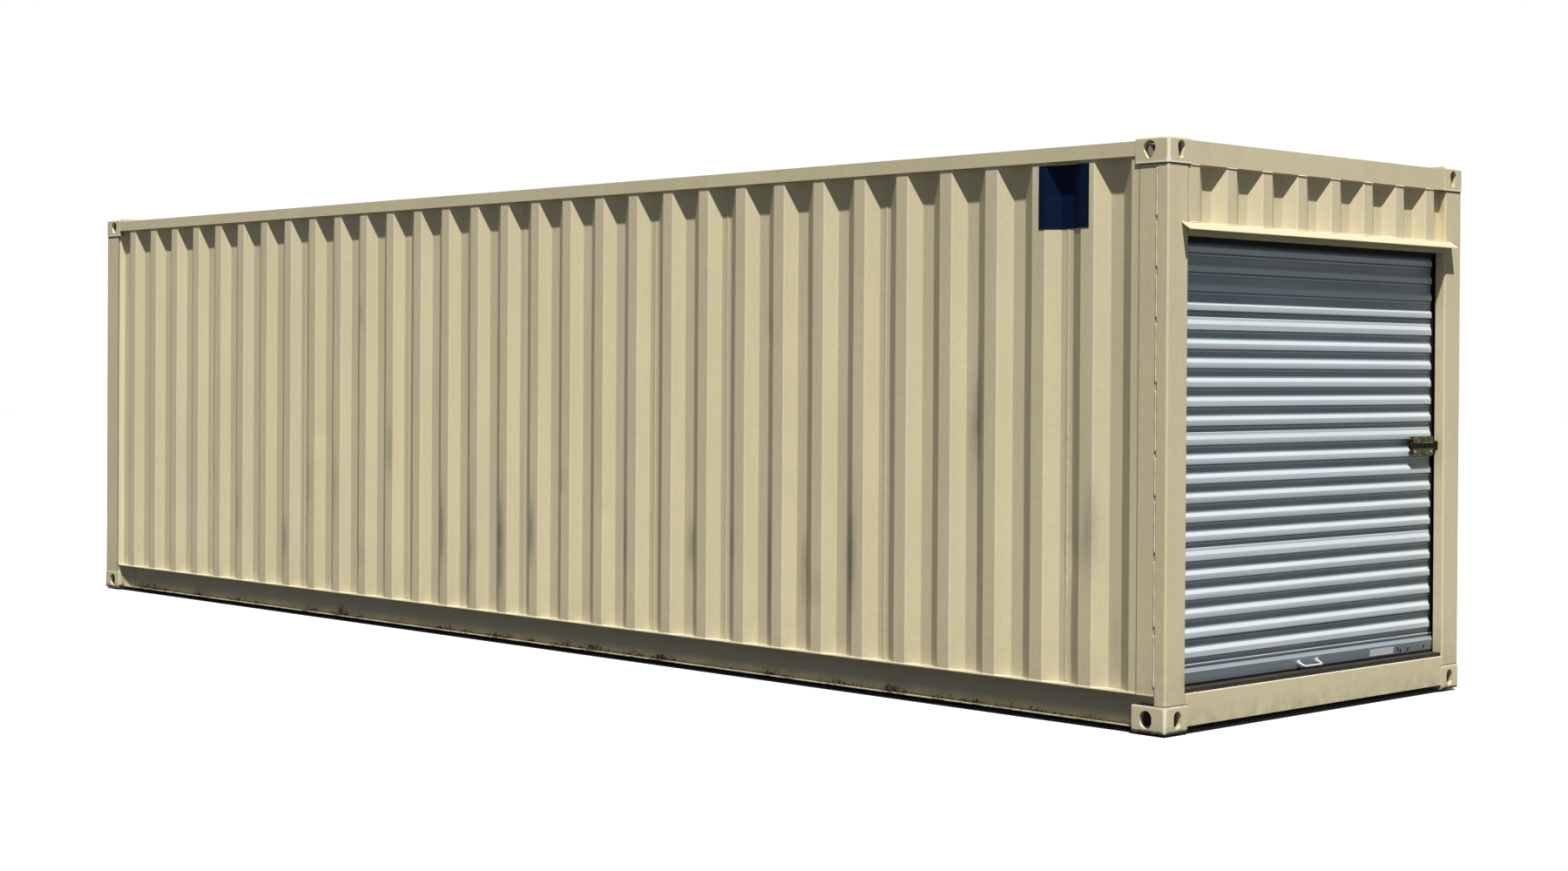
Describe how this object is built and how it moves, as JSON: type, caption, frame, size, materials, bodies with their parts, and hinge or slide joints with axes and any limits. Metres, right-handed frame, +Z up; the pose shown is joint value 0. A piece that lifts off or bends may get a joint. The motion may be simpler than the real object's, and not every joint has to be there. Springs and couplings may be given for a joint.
{
  "type": "shipping container",
  "caption": "Long steel storage box with corrugated walls, corner fittings and a roll-up shutter under a drip cap in one end, latched by a sliding bolt.",
  "frame": {"origin": "middle of the four lock slots in the bottom corner fittings, on the ground plane", "axes": "+X along the length towards the shutter end, +Y across towards the side with the latch, +Z up"},
  "size_m": [9.165, 2.438, 2.591],
  "materials": {
    "tan_paint": "semi-matt sprayed paint, dusty",
    "galvanised_sheet": "satin galvanised",
    "black_rubber": "matt",
    "plywood": "worn varnished plywood",
    "underside_coating": "matt bitumen coating",
    "rusted_steel": "rusted, matt",
    "bronze_zinc": "dull yellow-brown zinc plating",
    "plated_steel": "bright plated"
  },
  "bodies": {
    "box": {"fitting_bottom_door_left": "tan_paint", "fitting_bottom_door_right": "tan_paint", "fitting_bottom_far_left": "tan_paint", "fitting_bottom_far_right": "tan_paint", "fitting_top_door_left": "tan_paint", "fitting_top_door_right": "tan_paint", "fitting_top_far_left": "tan_paint", "fitting_top_far_right": "tan_paint", "post_door_left": "tan_paint", "post_door_right": "tan_paint", "post_far_left": "tan_paint", "post_far_right": "tan_paint", "top_side_rail_left": "tan_paint", "top_side_rail_right": "tan_paint", "bottom_side_rail_left": "tan_paint", "bottom_side_rail_right": "tan_paint", "rail_closer_left": "tan_paint", "rail_closer_right": "tan_paint", "top_end_rail_door": "tan_paint", "top_end_rail_far": "tan_paint", "door_sill": "tan_paint", "far_sill": "tan_paint", "side_wall_left": "tan_paint", "side_wall_right": "tan_paint", "far_wall": "tan_paint", "roof": "tan_paint", "floor_boards": "plywood", "cross_members": "underside_coating", "header_panel": "tan_paint", "lintel": "tan_paint", "head_seal": "black_rubber", "drip_cap": "tan_paint", "threshold": "rusted_steel", "shutter_curtain": "galvanised_sheet", "shutter_bottom_bar": "galvanised_sheet", "shutter_foot_seal": "black_rubber", "shutter_guide_left": "galvanised_sheet", "shutter_guide_right": "galvanised_sheet", "latch_body": "bronze_zinc", "lift_handle": "plated_steel"},
    "bolt": {"latch_bolt": "bronze_zinc"}
  },
  "joints": [
    {"name": "bolt_slide", "type": "slide", "parent": "box", "child": "bolt", "axis": [0, -1, 0], "range_m": [0, 0.045]}
  ]
}
